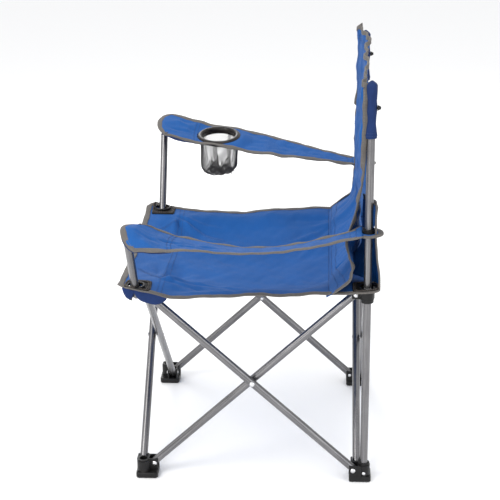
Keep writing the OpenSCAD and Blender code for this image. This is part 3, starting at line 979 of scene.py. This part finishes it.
def sleeve_section(side, v, top_z):
    """Points round a pole's sleeve at height v, from 0 at its hem to 1 at its gathered top."""
    sx = SIDES[side]
    angle = turn(SLEEVE_TURN)
    z = POCKET_LOW + (top_z - POCKET_LOW) * v
    wave = 0.0005 * np.sin(angle * 3 + z * 90) + 0.0004 * np.sin(angle * 5 - z * 160)
    hem = 0.0007 if v < 0.10 else 0.0
    flare = 0.0012 * max(0.0, (v - 0.72) / 0.28) ** 2
    r = TUBE_R + 0.0009 + hem + wave + flare + 0.0003 * math.sin(z * 130)
    squeeze = 1 + 0.03 * np.abs(np.sin(angle))
    closing = 1 - 0.85 * max(0.0, (v - 0.95) / 0.05) ** 2
    return np.column_stack([
        sx * (CORNER + r * np.cos(angle) * closing),
        CORNER + r * np.sin(angle) * squeeze * closing,
        np.full(SLEEVE_TURN, z + 0.004 * (1 - closing)),
    ])


def build_pole_pockets():
    """Sleeves of the backrest over the poles, with a sewn hem at the bottom and gathered at the top."""
    steps = 40
    for side, sx in SIDES.items():
        foot = f"rear_{side}_foot"
        top_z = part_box(f"{side}_pole_pocket")[1].z - 0.002
        points = np.stack([sleeve_section(side, i / steps, top_z) for i in range(steps + 1)])
        # the sleeves take the darker blue copy: painted shade beside the poles
        obj = piece(
            sheet_of(points, closed=True), f"{side}_pole_sleeve", blue_painted_shade, body=foot,
            thick=CLOTH_T, offset=0, stands_for=[f"{side}_pole_pocket"],
        )
        sewn = Shape()
        for ring in points[[2, 4]]:
            out = unit(ring - np.array([sx * CORNER, CORNER, ring[0, 2]]))
            stitches(sewn, ring + out * 0.0007, out, closed=True)
        thread_obj = piece(sewn, f"{side}_sleeve_stitches", blue_thread, body=foot)


def gusset_surface(side, rows=60, columns=60):
    """Grid over a panel: v runs up, u from the backrest to the fold and on across the flat outer part."""
    v, u = grid(rows, columns)
    fold_u = 0.66
    low_z = SEAT_Z + 0.002
    z = low_z + (0.600 - low_z) * v
    flat_part = np.clip((u - fold_u) / 0.34, 0, 1)
    inward = np.clip((fold_u - u) / fold_u, 0, 1)
    outer_y = 0.2430 + 0.0075 * (1 - ease(v * 2.2)) + 0.002 * np.sin(v * 6)
    inner_y = SEAM_Y + 0.060 * ease((z - 0.412) / 0.085) + 0.008 * ease((z - 0.55) / 0.2) + 0.004
    y = outer_y - 0.001 * (1 - flat_part) + (inner_y - outer_y) * inward**1.15
    x = 0.212 + 0.034 * flat_part - 0.082 * inward - 0.003 * np.sin(v * math.pi) * flat_part
    calm = (1 - flat_part) * np.sin(u / fold_u * math.pi * 0.9) ** 2 * np.sin(v * math.pi)
    y = y + (0.0016 * waves(x, z, 51, 0.05) + 0.0008 * waves(x, z, 52, 0.02)) * np.clip(calm, 0, 1)
    z = z - 0.012 * inward * v
    return np.stack([SIDES[side] * x, y, z], axis=2), np.stack([u * GUSSET_WIDTH, z], axis=2)


def build_gussets():
    """Panels behind the poles, from the seat's rear corners up and inward to the backrest."""
    for side, sx in SIDES.items():
        surface, flat = gusset_surface(side)
        rows, columns = surface.shape[:2]
        weights = gusset_weights(side)
        # a slit, through which the armrest's end passes round the pole
        middle = cell_middles(surface)
        reach = np.hypot(middle[:, :, 0] - sx * CORNER, middle[:, :, 1] - CORNER)
        slit = (reach < ARM_END_R + 0.002) & (np.abs(middle[:, :, 2] - LOOP_Z) < 0.0032)
        cloth = sheet_of(surface, flat, keep=~slit)
        name = f"{side}_gusset"
        panel = piece(cloth, name + "_cloth", blue, weights, thick=CLOTH_T, stands_for=[name])
        # the tape runs up the outer edge and across the top
        walk = stretch_of(perimeter(surface), range(columns - 1, columns - 1 + rows - 1 + columns - 1))
        names = (name + "_binding", name + "_stitches")
        tape, sewn = bound_edge(names, walk, weights, width=0.0085, sewn_at=0.006, seed=7)


# ---------- armrests ----------


def arm_measures(side):
    low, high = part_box(side + "_armrest")
    cap_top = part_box(side + "_post_cap")[1].z
    post = centre_of(side + "_post_cap")
    lean = math.atan2(abs(post.x) - CORNER, post.z - HUB_Z)
    return {
        "front_y": low.y, "rear_y": high.y, "front_x": CORNER + 0.190 * math.sin(lean),
        "front_z": cap_top + 0.013, "rear_x": CORNER + 0.002, "rear_z": LOOP_Z + 0.001,
        "post_x": abs(post.x), "post_y": post.y,
    }


ARMS = {side: arm_measures(side) for side in SIDES}


def arm_surface(side, rows=120, columns=38):
    """Grid over an armrest: t runs from its round front end to its rear, s from its inner edge out."""
    a = ARMS[side]
    left = side == "left"
    t, u = grid(rows, columns)
    s = 2 * u - 1
    half = (ARM_WIDE + (ARM_NARROW - ARM_WIDE) * ease((t - 0.4) / 0.6)) / 2
    half = half * (1 - (0.12 if left else 0.06) * np.clip(1 - t / 0.10, 0, 1) ** 2)
    if left:
        twist = math.radians(15) * np.sin(math.pi * t) - math.radians(4) * (1 - t) ** 2
    else:
        twist = math.radians(8) * np.sin(math.pi * t) ** 0.7 + math.radians(11) * (1 - t) ** 4
    cx = a["front_x"] + (a["rear_x"] - a["front_x"]) * t
    front_y = a["front_y"] + (0.011 if left else 0.006)
    rounding = (0.046 if left else 0.035) * (1 - np.sqrt(1 - 0.88 * s**2)) * np.clip(1 - t / 0.28, 0, 1)
    y = front_y + (a["rear_y"] + 0.003 - front_y) * t + rounding
    front_z = a["front_z"] + (-0.003 if left else 0.006)
    z = front_z + (a["rear_z"] - front_z) * t
    drape = ease(1 - t / 0.26)
    if left:
        z = z - 0.045 * np.sin(math.pi * t) - 0.006 * np.exp(-(((t - 0.18) / 0.10) ** 2))
        z = z - 0.016 * drape * s**2 - 0.008 * drape * np.clip(s, 0, 1)
    else:
        z = z - 0.005 * drape * s**2 + 0.010 * np.clip(1 - t / 0.22, 0, 1) ** 2
    z = z - (0.008 if left else 0.005) * np.clip(1 - t / 0.06, 0, 1) ** 2
    x = cx + s * half * np.cos(twist)
    z = z + s * half * np.sin(twist)
    crease = 0.0011 * waves(x, y, 71 if left else 72, 0.05) + 0.0005 * waves(x, y, 73, 0.022)
    draw = random.Random(81 if left else 82)
    for k in range(11):
        start = (a["front_x"] + draw.uniform(-0.03, 0.03), a["front_y"] + 0.03 + 0.011 * k)
        lean = math.radians(90 + draw.uniform(-32, 32))
        size = (1 if k % 2 else -0.8) * draw.uniform(0.0015, 0.0036)
        crease = crease + ridge(x, y, start, lean, draw.uniform(0.05, 0.14), 0.006, size)
    if not left:
        near = np.hypot(x + CUP.x, y - CUP.y)
        flatten = ease((near - CUP_R) / 0.03)
        plane = CUP.z + 0.0055 + CUP_TILT * (x + CUP.x)
        z = z * flatten + plane * (1 - flatten)
        crease = crease * flatten
    z = z + crease * (0.4 + 0.6 * (1 - s**2)) * ease(t / 0.04)
    wavy = 0.0016 * np.sin(y * 96) * ease((np.abs(s) - 0.75) / 0.25) * ease((t - 0.12) / 0.1)
    z = z + wavy * (1 - s) / 2
    return np.stack([SIDES[side] * x, y, z], axis=2)


def build_arm_strap(side):
    """The armrest's cloth with its binding, stitches and seams, and the pocket under its front end."""
    name = f"{side}_armrest"
    surface = arm_surface(side)
    rows, columns = surface.shape[:2]
    a = ARMS[side]
    weights = arm_weights(side)
    middle = cell_middles(surface)
    area = (a["rear_y"] - a["front_y"]) * ARM_MEAN
    keep = None
    if side == "right":
        keep = np.hypot(middle[:, :, 0] - CUP.x, middle[:, :, 1] - CUP.y) > CUP_R - 0.005
        area = area - math.pi * 0.044**2
    cloth = sheet_of(surface, keep=keep)
    strap = piece(cloth, name + "_cloth", blue, weights, thick=CLOTH_T * 1.4, offset=0, stands_for=[name])

    # binding from the rear along one side, round the front and back along the other side
    walk = perimeter(surface, depth=2)
    order = list(range(columns + rows - 2, columns - 2, -1)) + list(range(columns - 2, -1, -1))
    order += list(range(len(walk[0]) - 1, len(walk[0]) - rows, -1))
    names = (name + "_binding", name + "_stitches")
    tape, sewn = bound_edge(
        names, stretch_of(walk, order), weights, width=0.0105, sewn_at=0.0075, seed=9, size=SMALL_STITCH
    )
    pocket_row = int(rows * 0.19)
    cuts = [(row, slice(3, -3)) for row in (pocket_row, pocket_row + 2, rows - 4, rows - 7)]
    seams = piece(seam_rows(surface, cuts, lift=0.0009), name + "_seams", blue_thread, weights)

    # pocket layer under the front end, open round the post
    pocket_rows = pocket_row + 2
    under = surface[:pocket_rows].copy()
    v, u = grid(pocket_rows, columns)
    puff = (1 - (2 * u - 1) ** 4) * np.sin(math.pi * np.clip(v * 0.94 + 0.03, 0, 1)) ** 0.6
    under[:, :, 2] -= 0.0018 + 0.016 * puff
    middle = cell_middles(under)
    post_x = a["post_x"] - 0.022
    clear = np.hypot((np.abs(middle[:, :, 0]) - post_x + 0.002), middle[:, :, 1] - a["post_y"]) > 0.016
    # the pocket takes the darker blue copy: painted shade under the armrest
    pocket = piece(sheet_of(under, keep=clear), name + "_pocket", blue_painted_shade, weights, thick=CLOTH_T)


def build_arm_end(side):
    """The round of cloth that carries the loop on the pole, and the binding round its rear."""
    sx = SIDES[side]
    loop = f"{side}_arm_loop"
    centre = (CORNER + 0.001, CORNER)
    rings = 10
    angle = turn(72)
    disc = []
    for i in range(rings + 1):
        r = LOOP_R - 0.001 + (ARM_END_R - LOOP_R + 0.001) * i / rings
        z = LOOP_Z - 0.0012 + 0.0008 * np.sin(angle * 4) * i / rings
        disc.append(circle_at(centre, r, angle, z))
    collar = sheet_of(np.stack(disc) * [sx, 1, 1], closed=True)
    piece(collar, f"{side}_armrest_end", blue, body=loop, thick=CLOTH_T)

    angle = np.linspace(math.radians(-28), math.radians(208), 60)
    z = LOOP_Z - 0.0008
    rim = circle_at(centre, ARM_END_R, angle, z) * [sx, 1, 1]
    toward = unit(np.array([sx * centre[0], CORNER, z]) - rim)
    tape = Shape()
    binding(tape, rim, toward, np.tile([0.0, 0.0, 1.0], (len(angle), 1)), width=0.0095, seed=10)
    piece(tape, f"{side}_armrest_end_binding", grey, body=loop)


# ---------- cup holder ----------

NET_CELLS = 60
NET_LOW = CUP_LOW + 0.012
NET_LOW_R = CUP_R - 0.0085


def half_steps(i, count):
    """Angles of a row of net knots; odd rows sit half a cell round."""
    return 2 * math.pi * (np.arange(count) + 0.5 * (i % 2)) / count


def diamonds(shape, rows_of_points):
    """Diamond cells over a closed grid whose odd rows sit half a cell round."""
    points = np.stack(rows_of_points)
    rows, cells = points.shape[:2]
    faces = []
    for i in range(rows - 2):
        for j in range(cells):
            if i % 2:
                quad = ((i, j), (i + 1, j + 1), (i + 2, j), (i + 1, j))
            else:
                quad = ((i, j), (i + 1, j), (i + 2, j), (i + 1, j - 1))
            faces.append(tuple(r * cells + c % cells for r, c in quad))
    shape.add(points, faces)


def netting(shape, name, strand, stands_for=()):
    """Net in the cup holder, with a strand along each of the shape's edges."""
    obj = piece(shape, name, net_fibre, body="cup_holder", stands_for=stands_for, smooth=False)
    wires = obj.modifiers.new("strands", "WIREFRAME")
    wires.thickness = strand
    wires.use_replace = True
    wires.use_even_offset = False
    wires.use_boundary = True


def net_wall(angle, v):
    """The net's side, from 0 at its loose lower edge to 1 under the ring."""
    sway = 0.0011 * np.sin(angle * 3 + v * 4) + 0.0009 * np.sin(angle * 5 - v * 7) * (1 - v)
    tuck = 0.013 * np.clip((0.22 - v) / 0.22, 0, 1) ** 2
    r = NET_LOW_R + (CUP_R - 0.0060 - NET_LOW_R) * v + sway - tuck
    x = CUP.x + r * np.cos(angle)
    top = CUP.z - 0.0005 + CUP_TILT * (CUP.x - x)
    ragged = 0.0030 * np.sin(angle * 2 + 0.6) + 0.0020 * np.sin(angle * 5)
    z = NET_LOW + ragged * (1 - v) + (top - NET_LOW) * v
    return np.stack([x, CUP.y + r * np.sin(angle), z], axis=-1)


def build_cup_ring():
    ring = Shape()
    r_out, r_in = CUP_R + 0.0005, CUP_R - 0.0118
    flange = [
        (r_in + 0.0006, -0.0095), (r_in, -0.0010), (r_in + 0.0006, 0.0022), (r_in + 0.0026, 0.0046),
        (r_in + 0.0055, 0.0052), (r_in + 0.0085, 0.0044), (r_out - 0.0012, 0.0026), (r_out, 0.0016),
        (r_out - 0.0006, 0.0010), (r_in + 0.0030, 0.0008), (r_in + 0.0022, -0.0095),
    ]
    clamp = [
        (r_in + 0.0024, -0.0052), (r_in + 0.0024, -0.0008), (r_out - 0.0016, -0.0010),
        (r_out - 0.0010, -0.0022), (r_out - 0.0020, -0.0038),
    ]
    for profile in (flange, clamp):
        lathe(ring, profile, (CUP.x, CUP.y, CUP.z), 128)
    for block in ring.points:
        block[:, 2] += CUP_TILT * (CUP.x - block[:, 0]) + 0.005
    piece(ring, "cup_ring_moulding", gloss, body="cup_holder", stands_for=["cup_ring"])


def build_net():
    """The net's side and floor, which are one piece."""
    net = Shape()
    rows = 28
    diamonds(net, [net_wall(half_steps(i, NET_CELLS), np.full(NET_CELLS, i / rows)) for i in range(rows + 1)])
    rows = 14
    floor = []
    for i in range(rows + 1):
        k = i / rows
        angle = half_steps(i, NET_CELLS)
        r = (NET_LOW_R - 0.0125) * (1 - k) + 0.002
        crumple = 0.008 * waves(r * np.cos(angle), r * np.sin(angle), 93, 0.026)
        crumple = crumple * math.sin(min(1.0, k * 2.4) * math.pi / 2)
        z = np.maximum(NET_LOW + 0.001 + 0.003 * math.sin(k * math.pi) + crumple, CUP_LOW + 0.009)
        floor.append(circle_at(CUP, r, angle, z))
    diamonds(net, floor)
    netting(net, "cup_net_mesh", 0.0011, stands_for=["cup_net", "cup_net_floor"])


def build_slump():
    """Crumpled folds of net that have slumped into the bottom of the cup."""
    draw = random.Random(91)
    folds, cells, rows = 7, 11, 5
    slump = Shape()
    for fold in range(folds):
        toward = 2 * math.pi * fold / folds + draw.uniform(-0.3, 0.3)
        reach = draw.uniform(0.35, 0.95) * NET_LOW_R * 0.72
        centre_x = CUP.x + reach * math.cos(toward)
        centre_y = CUP.y + reach * math.sin(toward)
        size = draw.uniform(0.007, 0.0125)
        tall = draw.uniform(0.010, 0.027)
        sections = []
        for i in range(rows + 1):
            k = i / rows
            angle = half_steps(i, cells)
            lobes = 1 + 0.26 * np.sin(angle * 3 + fold) + 0.15 * np.sin(angle * 5 + k * 6)
            r = size * (1.15 - 0.70 * k**1.3) * lobes
            ripple = 0.0022 * np.sin(angle * 4 + fold)
            z = NET_LOW + 0.001 + tall * k * (1 - 0.35 * np.cos(angle - toward)) + ripple
            x = centre_x + 0.009 * k * math.cos(toward * 2)
            y = centre_y + 0.009 * k * math.sin(toward * 3)
            sections.append(circle_at((x, y), r, angle, np.maximum(z, NET_LOW)))
        diamonds(slump, sections)
    netting(slump, "cup_net_slump", 0.0008)


def build_net_seams():
    """Upright seams of the net: a second strip over each overlap."""
    rows, columns = 44, 7
    v, u = grid(rows, columns)
    shift = (np.arange(rows) % 2)[:, None] * 0.5 / (columns - 1)
    seam = Shape()
    for at_angle in (math.radians(-6), math.radians(150)):
        angle = at_angle + (u + shift - 0.5) * 0.20 + 0.03 * np.sin(v * 5)
        band = net_wall(angle, v)
        out = band - np.array([CUP.x, CUP.y, 0.0])
        out[:, :, 2] = 0
        seam.add(band + unit(out) * 0.0009, grid_faces(rows, columns))
    netting(seam, "cup_net_seam", 0.0008)


# ---------- stage, light and camera ----------


def build_stage():
    floor_mat = bpy.data.materials.new("floor")
    floor_mat.use_nodes = True
    bsdf = floor_mat.node_tree.nodes["Principled BSDF"]
    bsdf.inputs["Base Color"].default_value = (0.93, 0.93, 0.93, 1)
    bsdf.inputs["Roughness"].default_value = 0.9
    bpy.ops.mesh.primitive_circle_add(vertices=96, radius=14, fill_type="NGON", location=(0, 0, -0.0005))
    floor = bpy.context.object
    floor.name = "floor"
    floor.data.materials.append(floor_mat)

    world = bpy.data.worlds.new("studio")
    bpy.context.scene.world = world
    world.use_nodes = True
    nodes, links = world.node_tree.nodes, world.node_tree.links
    nodes.clear()
    out = nodes.new("ShaderNodeOutputWorld")
    sky = nodes.new("ShaderNodeBackground")
    sky.inputs["Color"].default_value = (0.985, 0.99, 1.0, 1)
    sky.inputs["Strength"].default_value = 0.98
    links.new(sky.outputs[0], out.inputs["Surface"])


def soft_light(name, place, target, size, power, colour=(1, 1, 1)):
    data = bpy.data.lights.new(name, "AREA")
    data.shape = "RECTANGLE"
    data.size, data.size_y = size
    data.energy = power
    data.color = colour
    obj = bpy.data.objects.new(name, data)
    obj.location = place
    obj.rotation_euler = (Vector(target) - Vector(place)).to_track_quat("-Z", "Y").to_euler()
    bpy.context.scene.collection.objects.link(obj)


def build_lights():
    soft_light("key", (1.6, -1.9, 2.3), (0, 0, 0.4), (1.4, 1.8), 48, (1.0, 0.985, 0.96))
    soft_light("fill", (1.9, 2.1, 1.3), (0, 0, 0.4), (0.8, 2.2), 16, (0.95, 0.97, 1.0))
    soft_light("side", (2.3, -0.7, 0.85), (0.2, 0.2, 0.5), (0.7, 1.4), 12)
    soft_light("top", (0.2, 0.2, 3.0), (0, 0, 0.4), (2.0, 2.0), 22)
    soft_light("rim", (-2.2, -0.6, 1.6), (0, 0, 0.4), (0.7, 2.4), 18)


def build_camera():
    place = (2.689, 0.13927, 1.44411)
    yaw, pitch, roll = 0.05723, 0.36426, -0.01047
    forward = Vector((-math.cos(yaw) * math.cos(pitch), -math.sin(yaw) * math.cos(pitch), -math.sin(pitch)))
    right = forward.cross(Vector((0, 0, 1))).normalized()
    up = right.cross(forward)
    right_rolled = right * math.cos(roll) + up * math.sin(roll)
    up_rolled = up * math.cos(roll) - right * math.sin(roll)
    data = bpy.data.cameras.new("camera")
    data.sensor_width = 36
    data.lens = 97.6
    obj = bpy.data.objects.new("camera", data)
    axes = Matrix((right_rolled, up_rolled, -forward)).transposed().to_4x4()
    obj.matrix_world = Matrix.Translation(place) @ axes
    bpy.context.scene.collection.objects.link(obj)
    bpy.context.scene.camera = obj


build_camera()
paint_frame()
build_seat()
build_patches()
build_under_flaps()
build_back()
build_pole_pockets()
build_gussets()
for arm_side in SIDES:
    build_arm_strap(arm_side)
    build_arm_end(arm_side)
build_cup_ring()
build_net()
build_slump()
build_net_seams()
build_stage()
build_lights()
bpy.context.scene.view_settings.view_transform = "Standard"

bpy.context.view_layer.update()
